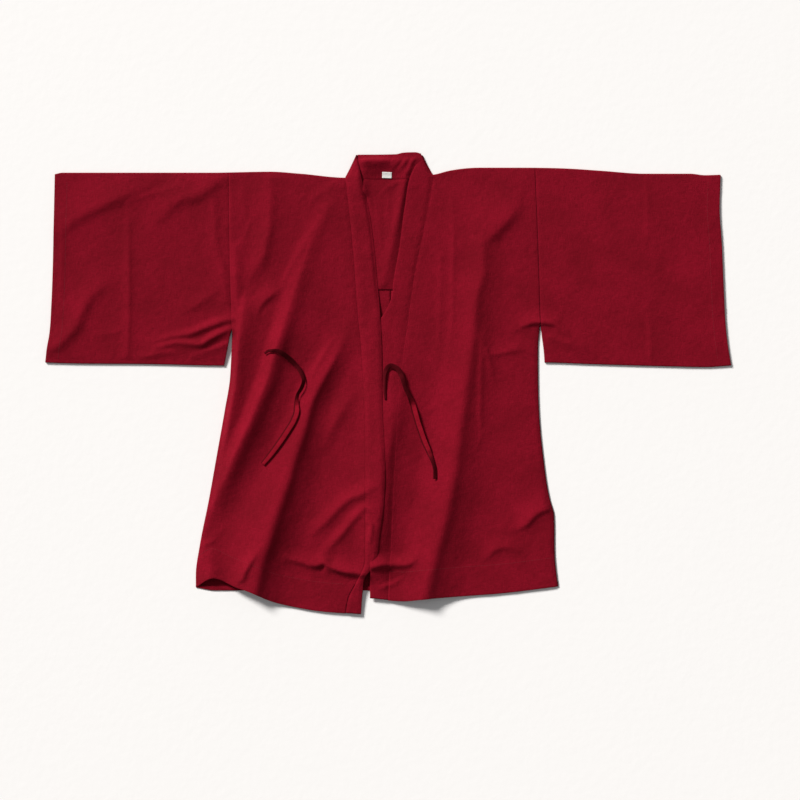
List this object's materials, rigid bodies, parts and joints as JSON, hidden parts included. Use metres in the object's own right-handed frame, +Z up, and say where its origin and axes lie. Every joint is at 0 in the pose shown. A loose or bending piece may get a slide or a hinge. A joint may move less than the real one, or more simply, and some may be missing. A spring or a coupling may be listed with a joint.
{
  "type": "iaido jacket",
  "caption": "Kimono-cut iaido jacket in wine-red cloth, laid flat on its back with the front up, wide sleeves spread and cloth ties loose on the fronts.",
  "frame": {"origin": "on the surface that the jacket lies on, under the middle of its outline", "axes": "+X across the shoulders towards the wearer's left sleeve, +Y from the hem towards the collar, +Z up off the surface, out of the front of the jacket"},
  "size_m": [1.3692, 0.923, 0.0313],
  "materials": {
    "jacket_cloth": "wine-red plain weave, matte, fine grain",
    "lining_cloth": "the same cloth from its inner side, matte",
    "tie_cloth": "narrow folded tape of the same cloth, wine red with a darker inner side",
    "label": "bare white woven label"
  },
  "bodies": {
    "root": {"body_left": "jacket_cloth", "body_right": "jacket_cloth", "collar_back": "jacket_cloth", "collar_left": "jacket_cloth", "collar_right": "jacket_cloth", "neck_label": "label", "shoulder_lining": "lining_cloth", "sleeve_left": "jacket_cloth", "sleeve_right": "jacket_cloth", "tie_left": "tie_cloth", "tie_right": "tie_cloth"}
  },
  "joints": []
}
